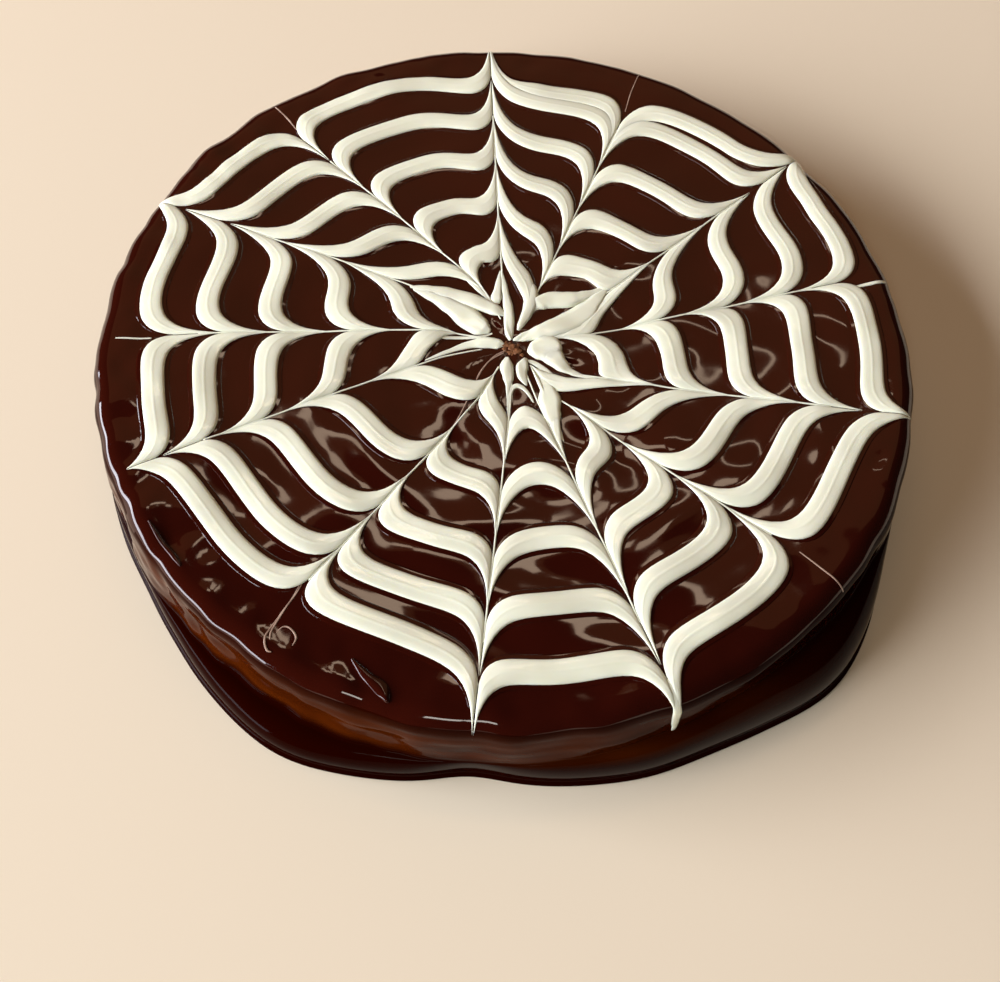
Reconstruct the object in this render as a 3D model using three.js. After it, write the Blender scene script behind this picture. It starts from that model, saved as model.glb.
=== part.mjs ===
// A low round brownie cake under dark chocolate glaze, with a feathered web of white icing on its top.
// Millimetres, +Z up. The origin is the middle of the underside, and -Y is the side that faces the viewer.
// The white line is one spiral, piped from the middle outwards. A skewer was then drawn across it, in turn
// towards the rim and towards the middle, and each stroke pulled the line into a long thin point.
import * as THREE from 'three';

// Glazed body
const TOP_HEIGHT = 30;        // flat of the glaze above the underside
const RIM_RADIUS = 120;       // outermost reach of the rounded rim, on average
const RIM_OVAL = 1.5;         // how far the rim is out of round
const RIM_OVAL_TURN = 20;     // degrees that the oval is turned by
const RIM_ROUND = 6;          // radius of the rounded rim
const CREASE_HEIGHT = 9;      // where the wall meets the pooled foot
// The thick run of glaze at the right front starts higher up: direction and half width in degrees, height
const CREASE_RISE = { at: -48, up: 10, half: 28 };
const WALL_SLOPE = 1 / 6;     // how far the wall leans out for each millimetre down
const FOOT_RADIUS = 123;      // reach of the pooled foot between its bulges
const FOOT_NOSE = 1.6;        // height of the foot's outermost line
const FOOT_TUCK = 1.2;        // how far the foot draws in below that line
const GLAZE_WAVE = 0.35;      // height of the gentle waves in the glaze on top
const GLAZE_WAVE_LENGTH = 46; // distance from wave to wave

// Bulges and one notch of the pooled foot: direction in degrees, reach and half width in degrees
const FOOT_BULGES = [
  { at: -117, out: 8.7, half: 18 },
  { at: -94, out: -1.8, half: 5 },
  { at: -72, out: 5.5, half: 16 },
  { at: -46, out: 11, half: 15 },
  { at: 35, out: 3.5, half: 22 },
  { at: 105, out: 4.5, half: 25 },
  { at: 165, out: 2.5, half: 16 },
];

// White web
const WEB_MIDDLE = { x: 3, y: -5 };
const BEAD_WIDTH = 6.7;       // width of the piped line
const BEAD_HEIGHT = 0.8;      // how far its crown stands above the glaze
const CROWN_SHARE = 0.5;      // width of the crown, as a share of the bead
const TURN_COUNT = 7;         // turns of the spiral, the last one only begun
const OVERLAP_GAP = [8.4, 5.2]; // from the spiral's end to the turn beside it, where it comes near and stops
const OVERLAP_START = 9;      // degrees before and after its stroke in which the end comes near
const END_TAPER = 9;          // degrees in which the end thins out
const DRAG_REACH = 3.2;       // sideways distance in which a stroke's broad pull fades
const TRAIL_SHARE = 0.54;     // how far the line's trailing side is drawn out, as a share of its leading side
const TAIL_PULL = 10.5;       // further pull close beside the skewer, which draws out the thin tails
const TAIL_REACH = 0.6;       // sideways distance in which that fades
const SKEWER_RADIUS = 0.12;   // the pull is even across the skewer's fine point
const STILL_MIDDLE = 6;       // radius inside which the icing hardly moved outwards
const BEND_SOFTENING = 8;     // rounds off the strokes' bend towards the middle
const BEND_END = 20;          // radius inside which they run straight
const GROOVE_DEPTH = 0.4;     // depth of the line that the skewer left
const GROOVE_WIDTH = 1.1;     // its half width

// Skewer strokes, counterclockwise from the one where the spiral ends. at is the direction in degrees, pull
// the broad pull (towards the rim if positive), and miss how far the stroke passes beside the web's middle.
// outer and inner place the first and the sixth turn midway between this stroke and the next, inner below zero
// where that turn has run out, and crowd is how much closer the outer turns lie there. tip is a radius that the
// white of a stroke towards the rim stays within. All radii are measured from the web's middle.
const STROKES = [
  { at: 93.8, pull: 17.9, miss: -2.9, outer: 111.5, inner: 11.3, crowd: 0.16, tip: 300 },
  { at: 131.1, pull: -15.3, miss: 10.9, outer: 112.6, inner: 15.5, crowd: 0.11 },
  { at: 154.1, pull: 22, miss: 10.1, outer: 109.6, inner: 12.9, crowd: 0.13, tip: 127 },
  { at: 179.3, pull: -15.5, miss: 7.3, outer: 103.3, inner: 1.5, crowd: 0.37 },
  { at: 202.1, pull: 12, miss: 5.6, outer: 98.2, inner: -5.7, crowd: 0.52, tip: 117 },
  { at: 234.2, pull: -11.2, miss: -5.7, outer: 93.6, inner: -3.1, crowd: 0.45 },
  { at: 265.1, pull: 12.3, miss: -1.8, outer: 100, inner: 0.3, crowd: 0.11, tip: 300 },
  { at: 290.7, pull: 15.7, miss: 0.9, outer: 99.8, inner: 1.1, crowd: 0.14, tip: 300 },
  { at: 319.6, pull: -19, miss: 10.9, outer: 97.9, inner: -4.4, crowd: 0.29 },
  { at: 348.3, pull: 14.1, miss: 11.8, outer: 103.6, inner: 11, crowd: -0.08, tip: 122.5 },
  { at: 373.6, pull: -13.4, miss: 3.7, outer: 107.3, inner: -6.2, crowd: 0.36 },
  { at: 398.8, pull: 21, miss: 5.6, outer: 120.9, inner: 17.8, crowd: -0.19, tip: 121.5 },
  { at: 428.3, pull: -21.8, miss: -0.3, outer: 114.2, inner: 24.4, crowd: 0.04 },
];

// Mesh
const STROKE_SPOKES = [-5.5, -2.6, -1.2, -0.45, 0, 0.45, 1.2, 2.6, 5.5]; // degrees beside each stroke
const SPOKE_SPACING = 7.5;    // widest angle between spokes elsewhere, in degrees
const RIM_STEPS = 3;
const FOOT_STEPS = 4;
// Points across the bead, from its inner to its outer edge
const BEAD_ACROSS = [-1, -CROWN_SHARE, CROWN_SHARE, 1];
const LEAST_STEP = 0.5;       // least distance between neighbouring points of a spoke

const FULL_TURN = 360;
const RIM_ARC = RIM_ROUND * Math.PI / 2;
const FIRST_STROKE = STROKES[0].at;

const radians = THREE.MathUtils.degToRad;
const mix = THREE.MathUtils.lerp;

function turnBetween(a, b) {
  return THREE.MathUtils.euclideanModulo(a - b + FULL_TURN / 2, FULL_TURN) - FULL_TURN / 2;
}

// Blends values that hold at rising angles, level at each of them
function blendAt(knots, degrees) {
  let next = knots.findIndex((knot) => knot.at > degrees);
  if (next < 1) next = next === 0 ? 1 : knots.length - 1;
  const before = knots[next - 1];
  const after = knots[next];
  const share = THREE.MathUtils.clamp((degrees - before.at) / (after.at - before.at), 0, 1);
  return mix(before.value, after.value, (1 - Math.cos(Math.PI * share)) / 2);
}

// Middle of the sector that follows each stroke
const sectors = STROKES.map((stroke, i) => {
  const next = i + 1 < STROKES.length ? STROKES[i + 1].at : FIRST_STROKE + FULL_TURN;
  return { ...stroke, at: (stroke.at + next) / 2 };
});

// Values that hold at some strokes, and again at the first of those one turn on
function roundKnots(strokes, key) {
  const knots = strokes.map((stroke) => ({ at: stroke.at, value: stroke[key] }));
  return [...knots, { at: knots[0].at + FULL_TURN, value: knots[0].value }];
}

const missKnots = roundKnots(STROKES, 'miss');
const tipKnots = roundKnots(STROKES.filter((stroke) => stroke.pull > 0), 'tip');

// Radius of a turn midway in a sector, before the strokes. Turn 0 is the outermost.
function levelTurn(turn, sector) {
  const share = 1 - turn / (TURN_COUNT - 2);
  const spaced = share + sector.crowd * share * (1 - share);
  return mix(sector.inner, sector.outer, spaced);
}

// Radius of the piped spiral at an angle between FIRST_STROKE and one turn on. The spiral winds outwards, so
// one turn's end runs on as the next turn outwards.
function pipedTurn(turn, degrees) {
  const first = sectors[0];
  const last = sectors[sectors.length - 1];
  const knots = [
    { at: last.at - FULL_TURN, value: levelTurn(turn + 1, last) },
    ...sectors.map((sector) => ({ at: sector.at, value: levelTurn(turn, sector) })),
    { at: first.at + FULL_TURN, value: levelTurn(turn - 1, first) },
  ];
  return blendAt(knots, degrees);
}

// The outermost turn's end is laid close against the turn beside it
function turnMiddle(turn, degrees) {
  const piped = pipedTurn(turn, degrees);
  if (turn > 0) return piped;
  const near = STROKES[STROKES.length - 2].at;
  const laid = THREE.MathUtils.smoothstep(degrees, near - OVERLAP_START, near + OVERLAP_START);
  const along = THREE.MathUtils.smoothstep(degrees, near + OVERLAP_START, FIRST_STROKE + FULL_TURN);
  return mix(piped, pipedTurn(1, degrees) + mix(...OVERLAP_GAP, along), laid);
}

function beadWidth(turn, degrees) {
  if (turn > 0) return BEAD_WIDTH;
  const end = FIRST_STROKE + FULL_TURN;
  return BEAD_WIDTH * (1 - THREE.MathUtils.smoothstep(degrees, end - END_TAPER, end));
}

// Where the strokes drag a point of the line to, along its spoke. across is -1 at the line's inner edge and 1
// at its outer one. Towards the rim it comes no further than the stroke's tip, and towards the middle it never
// arrives there.
function dragged(radius, degrees, across) {
  const from = Math.max(radius, LEAST_STEP);
  let pull = 0;
  for (const stroke of STROKES) {
    const ahead = Math.sign(stroke.pull);
    const share = mix(TRAIL_SHARE, 1, (1 + ahead * across) / 2);
    const beside = Math.hypot(from * radians(turnBetween(degrees, stroke.at)), SKEWER_RADIUS);
    const tail = ahead * TAIL_PULL * (1 + beside / TAIL_REACH) ** -2;
    pull += share * (stroke.pull * Math.exp(-beside / DRAG_REACH) + tail);
  }
  if (pull < 0) return from * from / (from - pull);
  const room = Math.max(blendAt(tipKnots, degrees) - from, LEAST_STEP);
  return from + room * (1 - Math.exp(-pull * from / (from + STILL_MIDDLE) / room));
}

// Plan position of a point of a spoke. Spokes bend a little towards the middle, as the strokes do.
function onSpoke(radius, degrees) {
  const inwards = 1 / (Math.max(radius, BEND_END) + BEND_SOFTENING) - 1 / (RIM_RADIUS + BEND_SOFTENING);
  const bend = blendAt(missKnots, degrees) * inwards;
  const angle = radians(degrees) - bend;
  return { x: WEB_MIDDLE.x + radius * Math.cos(angle), y: WEB_MIDDLE.y + radius * Math.sin(angle) };
}

// Share of a bump that is left at an angle in degrees
function bell(degrees, bump) {
  const away = turnBetween(degrees, bump.at) / bump.half;
  return Math.exp(-away * away);
}

function rimRadius(angle) {
  return RIM_RADIUS - RIM_OVAL * Math.sin(2 * angle + radians(RIM_OVAL_TURN));
}

function footRadius(angle) {
  const degrees = THREE.MathUtils.radToDeg(angle);
  return FOOT_BULGES.reduce((reach, bulge) => reach + bulge.out * bell(degrees, bulge), FOOT_RADIUS);
}

function creaseHeight(angle) {
  return CREASE_HEIGHT + CREASE_RISE.up * bell(THREE.MathUtils.radToDeg(angle), CREASE_RISE);
}

function glazeWave(x, y) {
  const k = 2 * Math.PI / GLAZE_WAVE_LENGTH;
  return GLAZE_WAVE * Math.sin(k * x + Math.sin(k * y)) * Math.sin(k * y + 1);
}

// Lays a plan point on the glaze: flat on top, then rolled over the rim and down the wall. lift is its height
// above the glaze, square to it.
function onGlaze(x, y, lift) {
  const reach = Math.hypot(x, y);
  const angle = Math.atan2(y, x);
  const rim = rimRadius(angle);
  const past = reach - (rim - RIM_ROUND);
  const tilt = THREE.MathUtils.clamp(past / RIM_ROUND, 0, Math.PI / 2);
  const down = Math.max(past - RIM_ARC, 0);
  const level = Math.min(reach, rim - RIM_ROUND);
  const wave = glazeWave(x, y) * Math.cos(tilt);
  const radius = level + (RIM_ROUND + lift) * Math.sin(tilt) + WALL_SLOPE * down;
  const height = TOP_HEIGHT - RIM_ROUND + (RIM_ROUND + lift) * Math.cos(tilt) - down + wave;
  return new THREE.Vector3(radius * Math.cos(angle), radius * Math.sin(angle), height);
}

// Height of the bead's crown and the skewer's groove at a point of a spoke
function crownLift(radius, degrees, crown) {
  const beside = Math.min(...STROKES.map((stroke) => Math.abs(turnBetween(degrees, stroke.at))));
  const away = radius * radians(beside) / GROOVE_WIDTH;
  const grooved = Math.exp(-away * away);
  return crown * BEAD_HEIGHT * (1 - grooved) - GROOVE_DEPTH * grooved;
}

// Points of one spoke from the middle out over the rim and down to the underside
function spokePoints(degrees) {
  const points = [];
  let reach = 0;
  for (let turn = TURN_COUNT - 1; turn >= 0; turn -= 1) {
    const middle = turnMiddle(turn, degrees);
    const half = beadWidth(turn, degrees) / 2;
    for (const across of BEAD_ACROSS) {
      reach = Math.max(dragged(middle + across * half, degrees, across), reach + LEAST_STEP);
      const { x, y } = onSpoke(reach, degrees);
      points.push(onGlaze(x, y, crownLift(reach, degrees, Math.abs(across) < 1 ? 1 : 0)));
    }
  }
  const edge = onSpoke(Math.max(reach, RIM_RADIUS), degrees);
  const angle = Math.atan2(edge.y, edge.x);
  const last = onSpoke(reach, degrees);
  let laid = Math.hypot(last.x, last.y);
  const flat = rimRadius(angle) - RIM_ROUND;
  const past = [];
  for (let i = 0; i <= RIM_STEPS; i += 1) past.push(RIM_ARC * i / RIM_STEPS);
  const crease = creaseHeight(angle);
  const wall = TOP_HEIGHT - RIM_ROUND - crease;
  past.push(RIM_ARC + wall / 2, RIM_ARC + wall);
  for (const step of past) {
    laid = Math.max(flat + step, laid + LEAST_STEP);
    points.push(onGlaze(laid * Math.cos(angle), laid * Math.sin(angle), 0));
  }
  const wallFoot = rimRadius(angle) + WALL_SLOPE * wall;
  const foot = footRadius(angle);
  for (let i = 1; i <= FOOT_STEPS; i += 1) {
    const round = Math.PI / 2 * i / FOOT_STEPS;
    const radius = mix(wallFoot, foot, Math.sin(round));
    const height = mix(FOOT_NOSE, crease, Math.cos(round));
    points.push(new THREE.Vector3(radius * Math.cos(angle), radius * Math.sin(angle), height));
  }
  const base = foot - FOOT_TUCK;
  points.push(new THREE.Vector3(base * Math.cos(angle), base * Math.sin(angle), 0));
  return points;
}

// Spoke angles: close together beside each stroke, evenly spread between them
function spokeAngles() {
  const near = STROKES.flatMap((stroke) => STROKE_SPOKES.map((offset) => stroke.at + offset));
  const inTurn = (at) => FIRST_STROKE + THREE.MathUtils.euclideanModulo(at - FIRST_STROKE, FULL_TURN);
  const wrapped = near.map(inTurn).sort((a, b) => a - b);
  return wrapped.flatMap((at, i) => {
    const next = i + 1 < wrapped.length ? wrapped[i + 1] : wrapped[0] + FULL_TURN;
    const count = Math.ceil((next - at) / SPOKE_SPACING);
    return Array.from({ length: count }, (_, j) => mix(at, next, j / count));
  });
}

// One closed skin. Each row of points is joined to the next spoke's, and across the seam each turn of the
// spiral is joined to the turn that it runs on as.
function cakeGeometry() {
  const spokes = spokeAngles().map(spokePoints);
  const rows = spokes[0].length;
  const shift = BEAD_ACROSS.length;
  const webRows = TURN_COUNT * shift;
  const poles = [onGlaze(WEB_MIDDLE.x, WEB_MIDDLE.y, 0), new THREE.Vector3(0, 0, 0)];
  const [top, under] = poles.keys();
  const vertices = [...poles, ...spokes.flat()];
  const at = (spoke, row) => poles.length + spoke * rows + row;
  const triangles = [];
  const quad = (a, b, c, d) => {
    const acrossFirst = vertices[a].distanceTo(vertices[c]) < vertices[b].distanceTo(vertices[d]);
    triangles.push(...(acrossFirst ? [a, b, c, a, c, d] : [a, b, d, b, c, d]));
  };
  const strip = (from, to, firstRow, lastRow, ahead) => {
    for (let row = firstRow; row < lastRow; row += 1) {
      quad(at(from, row), at(from, row + 1), at(to, row + 1 + ahead), at(to, row + ahead));
    }
  };
  const seam = spokes.length - 1;
  for (let spoke = 0; spoke <= seam; spoke += 1) {
    const next = (spoke + 1) % spokes.length;
    triangles.push(top, at(spoke, 0), at(next, 0));
    triangles.push(under, at(next, rows - 1), at(spoke, rows - 1));
    if (spoke < seam) {
      strip(spoke, next, 0, rows - 1, 0);
    } else {
      for (let row = 0; row < shift; row += 1) {
        triangles.push(at(spoke, 0), at(next, row + 1), at(next, row));
      }
      const joined = webRows - 1 - shift;
      strip(spoke, next, 0, joined, shift);
      for (let row = joined; row < webRows; row += 1) {
        triangles.push(at(next, webRows - 1), at(spoke, row), at(spoke, row + 1));
      }
      triangles.push(at(next, webRows - 1), at(spoke, webRows), at(next, webRows));
      strip(spoke, next, webRows, rows - 1, 0);
    }
  }
  const geometry = new THREE.BufferGeometry().setFromPoints(vertices);
  geometry.setIndex(triangles);
  geometry.computeVertexNormals();
  return geometry;
}

const glaze = new THREE.MeshStandardMaterial({ color: 0x3a1d14, roughness: 0.22, metalness: 0 });
const cake = new THREE.Mesh(cakeGeometry(), glaze);
cake.name = 'cake';

const object = new THREE.Group();
object.add(cake);

export default object;
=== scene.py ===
"""A low round brownie cake under dark chocolate glaze, with a feathered web of white icing on its top.

Lengths are millimetres until a point is placed. The frame is that of the solids: the origin is the middle
of the underside, +Z is up and -Y faces the viewer. The white line is one spiral, piped from the middle
outwards. A skewer was then drawn across it, in turn towards the rim and towards the middle, and pulled the
line into long points.
"""
import math
from collections import namedtuple

import bmesh
import bpy
from mathutils import Matrix, Vector, noise


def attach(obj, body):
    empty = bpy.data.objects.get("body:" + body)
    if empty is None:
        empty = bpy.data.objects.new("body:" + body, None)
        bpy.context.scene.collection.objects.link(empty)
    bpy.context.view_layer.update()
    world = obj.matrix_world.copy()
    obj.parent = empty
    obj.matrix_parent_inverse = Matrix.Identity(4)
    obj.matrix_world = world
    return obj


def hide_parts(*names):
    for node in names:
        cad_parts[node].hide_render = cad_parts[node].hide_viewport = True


MM = 0.001

# Glazed body, as in the solids
TOP_HEIGHT = 30.0
RIM_RADIUS = 120.0
RIM_OVAL = 1.5
RIM_OVAL_TURN = 20.0
RIM_ROUND = 6.0
CREASE_HEIGHT = 9.0
WALL_SLOPE = 1 / 6
FOOT_RADIUS = 123.0
FOOT_NOSE = 1.8
FOOT_TUCK = 1.2
GLAZE_WAVE = 0.35
GLAZE_WAVE_LENGTH = 46.0
GLAZE_WAVE_SHIFT = 1.0
FLAT_RADIUS = RIM_RADIUS - RIM_ROUND
RIM_ARC = RIM_ROUND * math.pi / 2
WALL_TOP = TOP_HEIGHT - RIM_ROUND
CREASE_RADIUS = RIM_RADIUS + WALL_SLOPE * (WALL_TOP - CREASE_HEIGHT)

# Bulges and one notch of the pooled foot: direction in degrees, reach and half width in degrees
Bulge = namedtuple("Bulge", "at out half")
CREASE_RISE = Bulge(-48, 10, 28)
FOOT_BULGES = [
    Bulge(-117, 8.7, 18),
    Bulge(-94, -1.8, 5),
    Bulge(-72, 5.5, 16),
    Bulge(-46, 11, 15),
    Bulge(35, 3.5, 22),
    Bulge(105, 4.5, 25),
    Bulge(165, 2.5, 16),
]

# White web, as in the solids
WEB_MIDDLE = Vector((3.0, -5.0))
BEAD_WIDTH = 6.7
BEAD_HEIGHT = 0.8
BEAD_SUNK = 0.5
TURN_COUNT = 7
OVERLAP_GAP = (8.4, 5.2)
OVERLAP_START = 9.0
END_TAPER = 9.0
DRAG_REACH = 3.2
TRAIL_SHARE = 0.54
TAIL_PULL = 10.5
TAIL_REACH = 0.6
SKEWER_RADIUS = 0.12
STILL_MIDDLE = 6.0
BEND_SOFTENING = 8.0
BEND_END = 20.0
LEAST_RADIUS = 0.5

# Skewer strokes, counterclockwise from the one where the spiral ends: direction in degrees, pull (towards
# the rim if positive), how far the stroke passes beside the middle, radii of the first and the sixth turn
# midway to the next stroke, how much closer the outer turns lie there, and the radius that the white stays
# within on a stroke towards the rim.
Stroke = namedtuple("Stroke", "at pull miss outer inner crowd tip")
STROKES = [
    Stroke(93.8, 17.9, -2.9, 111.5, 11.3, 0.16, 300),
    Stroke(131.1, -15.3, 10.9, 112.6, 15.5, 0.11, 0),
    Stroke(154.1, 22, 10.1, 109.6, 12.9, 0.13, 127),
    Stroke(179.3, -15.5, 7.3, 103.3, 1.5, 0.37, 0),
    Stroke(202.1, 12, 5.6, 98.2, -5.7, 0.52, 117),
    Stroke(234.2, -11.2, -5.7, 93.6, -3.1, 0.45, 0),
    Stroke(265.1, 12.3, -1.8, 100, 0.3, 0.11, 300),
    Stroke(290.7, 15.7, 0.9, 99.8, 1.1, 0.14, 300),
    Stroke(319.6, -19, 10.9, 97.9, -4.4, 0.29, 0),
    Stroke(348.3, 14.1, 11.8, 103.6, 11, -0.08, 122.5),
    Stroke(373.6, -13.4, 3.7, 107.3, -6.2, 0.36, 0),
    Stroke(398.8, 21, 5.6, 120.9, 17.8, -0.19, 121.5),
    Stroke(428.3, -21.8, -0.3, 114.2, 24.4, 0.04, 0),
]
FIRST_STROKE = STROKES[0].at
FULL_TURN = 360.0

# Finer forms of the glaze: lengths from crest to crest, and heights. The back and the right are calmer. Each
# fade gives where that starts and ends, in millimetres for the back and in shares of the rim's radius for
# the right.
SWELL_LENGTH = 9.5
SWELL_TURN = 18.0
SWELL_HEIGHT = 0.62
RIPPLE = 0.1
RIPPLE_FINENESS = 2.3
CALM_BACK = 0.35
BACK_FADE = (-60.0, 60.0)
RIM_CALM = 11.0
RIM_SWELL = 0.35
RIM_WAVE = 1.4
RIM_WAVE_LENGTH = 13.0
CALM_RIGHT = 0.3
RIM_WAVE_FADE = (-0.6, 0.2)
WALL_KNOB_FADE = (-0.5, 0.2)
TOP_KNOB_FADE = (-0.5, 0.5)
WALL_LUMP = 0.8
WALL_LUMP_LENGTH = 15.0
RIM_KNOB = 0.6
RIM_KNOB_LENGTH = 7.0
WALL_STREAK = 0.16
WALL_STREAK_LENGTH = 55.0
WALL_STREAK_HEIGHT = 2.6
CREASE_WAVE = 0.9
CREASE_WAVE_LENGTH = 26.0
CREASE_SOFTNESS = 2.0
FOOT_RAGGED = 0.5
FOOT_RAGGED_LENGTH = 22.0

# Dents of the glaze: place, height, half length, half width, turn of the long side in degrees
Dent = namedtuple("Dent", "x y height long wide turn")
DENTS = [
    Dent(-35, -107, -0.5, 6.0, 1.6, -48),
    Dent(-88, -69, -0.6, 7.0, 2.4, -62),
    Dent(103, -43, -0.5, 4.5, 2.0, 40),
    Dent(106, 52, -0.35, 6.0, 4.0, 60),
    Dent(-108, 22, -0.5, 7.0, 3.0, 70),
]

# Strands laid on the glaze: points along the middle, and the width at each of them
Strand = namedtuple("Strand", "points widths")

# The torn petals and drawn-out points in the middle of the web, the far tip of one stroke at the front, and
# two faint lines where a skewer was set in
MIDDLE_STRANDS = [
    Strand([(7.2, 5.2), (8.8, 7.4), (11.2, 9.6), (14.4, 10.8),
            (19, 10.9), (23.5, 12.1), (28, 14.3), (34, 18)],
           [0.3, 2, 5.2, 6.2, 6, 4, 1.8, 0.5]),
    Strand([(2.8, -3.9), (7, -2.5), (11, -1.1), (15, 0.5),
            (19.8, 2.9), (24.2, 6.2), (27.4, 10.5), (31.5, 15.8)],
           [0.8, 3.4, 5.2, 6.6, 7.8, 7.6, 4.6, 0.5]),
    Strand([(7, -8), (9.4, -7.4), (12, -6.9), (14.6, -7), (17.2, -7.8)], [1.6, 7, 9.8, 9.4, 3]),
    Strand([(12, -6.5), (14.4, -9.4), (16.8, -12.4), (19.8, -14.8), (24, -16.6), (29, -17.8)],
           [1, 6.6, 4.6, 2.2, 1, 0.4]),
    Strand([(13.5, -2.4), (18, -2.2), (23, -2.8), (28, -3.8)], [1.2, 2, 3, 4]),
    Strand([(6.6, 20), (8.3, 14.5), (8.2, 9.6), (6.9, 5.2), (5.4, 1.8), (4.4, -0.7)],
           [0.6, 4, 4.4, 3.2, 2.2, 0.8]),
    Strand([(-0.6, 22.5), (0.6, 14), (1.5, 8), (1.8, 3), (1.9, -1), (2.2, -4)], [0.4, 2, 3, 3.2, 2.8, 1]),
    Strand([(-0.9, 22), (-1.5, 15.5), (-2, 11.4), (-1.6, 9)], [0.4, 2.2, 3.4, 1.2]),
    Strand([(-28, 15.5), (-22, 14.3), (-16, 12.8), (-9, 10.2), (-3, 7.2), (0.6, 5)],
           [0.8, 3, 4.8, 5.4, 4.4, 1.4]),
    Strand([(-27, 14.6), (-21, 11.8), (-15.5, 8.4), (-10.5, 4.3), (-7, 1.2), (-3.6, -0.9)],
           [0.8, 3.4, 5.6, 7.6, 6.6, 1.6]),
    Strand([(-11.5, 20), (-8, 15.5), (-5, 11.8), (-2.4, 9)], [2.6, 1.7, 1.1, 0.5]),
    Strand([(-22.5, -11.2), (-16, -8), (-10, -5.5), (-5, -4.8), (-1.6, -5.2), (0.6, -5.6)],
           [0.4, 1.4, 2.6, 3.8, 3.4, 0.8]),
    Strand([(-26, -3.4), (-15, -3), (-7, -2.8), (-3, -1.4)], [1.2, 1.1, 1, 0.6]),
    Strand([(1.2, -9.6), (1.1, -13.2), (1.6, -17), (1.6, -20.5), (1.6, -25), (1.6, -32)],
           [1, 4, 3.2, 1.4, 0.8, 0.4]),
    Strand([(6.8, -10), (5.6, -13.3), (5.6, -16.3), (6.9, -19.8)], [1, 3.6, 3, 0.6]),
    Strand([(1.9, -28), (2.3, -22), (3.6, -19.9), (5.6, -20.3), (7.4, -22.4), (8.9, -25.4)],
           [0.7, 1.3, 1.5, 1.3, 1, 0.4]),
    Strand([(6.8, -11), (9, -11.8), (12, -14.2), (15.4, -17.4)], [0.7, 1.5, 1.8, 1.2]),
    Strand([(10.2, -13.6), (12.4, -19), (13.3, -24), (13.9, -29), (15.4, -34), (17, -38)],
           [0.7, 3.8, 6.6, 5.2, 1.8, 0.5]),
    Strand([(41.2, -106), (43.3, -111.6), (45.1, -116.3), (46.6, -120.3), (47.7, -123.2), (48.6, -126.4)],
           [1, 2.2, 2.6, 2.2, 1.6, 0.6]),
    Strand([(-112.8, -4.1), (-107.5, -4.2), (-102, -4)], [0.4, 0.6, 0.5]),
    Strand([(115.7, 19.2), (110.5, 17.8), (104.5, 16.2)], [0.9, 1.2, 0.9]),
]

# Fine threads of white that each stroke drew along its way: width, and where they end at the middle and rim
THREAD_WIDTH = 0.5
THREAD_INNER = 9.0
THREAD_OUTER = 92.0
THREAD_STEPS = 14

# Thin smears that the skewer left on the glaze, lighter than it: partly icing mixed in, partly a painted
# highlight on their lips
SMEARS = [
    Strand([(-50.6, -78.8), (-52.6, -83.6), (-55.4, -88.3), (-58, -93.6), (-58.2, -96.4)],
           [0.2, 0.4, 0.5, 0.6, 0.4]),
    Strand([(-51.4, -79.6), (-53.6, -85), (-56.6, -90), (-59.4, -95.2), (-58.8, -98.8), (-57.4, -99.6)],
           [0.2, 0.3, 0.4, 0.6, 0.6, 0.3]),
    Strand([(-57, -94.6), (-55.2, -92.8), (-53.2, -93.4), (-51.6, -95.8), (-52.4, -98)],
           [0.2, 0.4, 0.5, 0.6, 0.3]),
    Strand([(0.5, -8.4), (-3.5, -11), (-6.5, -15.5), (-8.6, -21.5), (-12, -30), (-16, -37.5)],
           [0.4, 0.5, 0.5, 0.4, 0.4, 0.3]),
    Strand([(0.9, -7.6), (-2.4, -9.6), (-5.6, -14), (-7.4, -18)], [0.3, 0.4, 0.4, 0.3]),
    Strand([(45.9, 107.4), (42.5, 98), (40, 88.8)], [0.3, 0.4, 0.3]),
    Strand([(90.2, -82.2), (84.1, -76.5), (78, -71)], [0.4, 0.5, 0.3]),
    Strand([(-75.9, 89.8), (-71.4, 84.8), (-67.6, 79.4)], [0.4, 0.6, 0.4]),
]

# Lips of glaze that the spatula pushed up near the rim
GLAZE_LIPS = [
    Strand([(-37.4, -101), (-33.6, -105.4), (-29.6, -108.8), (-27.6, -112.4)], [0.8, 2.8, 4, 1.2]),
    Strand([(-94, -63), (-90, -68.6), (-86, -73), (-83.4, -76.4)], [0.6, 1.6, 1.8, 0.6]),
]

# Crumbs of brownie that came up where the strokes meet: place and size
Crumb = namedtuple("Crumb", "x y size")
CRUMBS = [
    Crumb(1.2, -5.4, 2.2),
    Crumb(2.9, -6.5, 2.6),
    Crumb(4.1, -7.9, 2.2),
    Crumb(0.6, -7.2, 1.6),
    Crumb(2.4, -8.5, 1.8),
    Crumb(5.4, -9.2, 1.2),
    Crumb(4.4, -5.9, 1.2),
]


def turn_between(a, b):
    return (a - b + FULL_TURN / 2) % FULL_TURN - FULL_TURN / 2


def mix(a, b, share):
    return a + (b - a) * share


def smooth(value, low, high):
    share = min(max((value - low) / (high - low), 0.0), 1.0)
    return share * share * (3 - 2 * share)


def bell(distance, half):
    return math.exp(-((distance / half) ** 2))


def blend_at(knots, degrees):
    """Blends values that hold at rising angles, level at each of them."""
    after = next((i for i, knot in enumerate(knots) if knot[0] > degrees), len(knots) - 1)
    after = max(after, 1)
    low, high = knots[after - 1], knots[after]
    share = min(max((degrees - low[0]) / (high[0] - low[0]), 0.0), 1.0)
    return mix(low[1], high[1], (1 - math.cos(math.pi * share)) / 2)


def round_knots(strokes, key):
    """Values that hold at some strokes, and again at the first of those one turn on."""
    knots = [(stroke.at, getattr(stroke, key)) for stroke in strokes]
    return knots + [(knots[0][0] + FULL_TURN, knots[0][1])]


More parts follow.
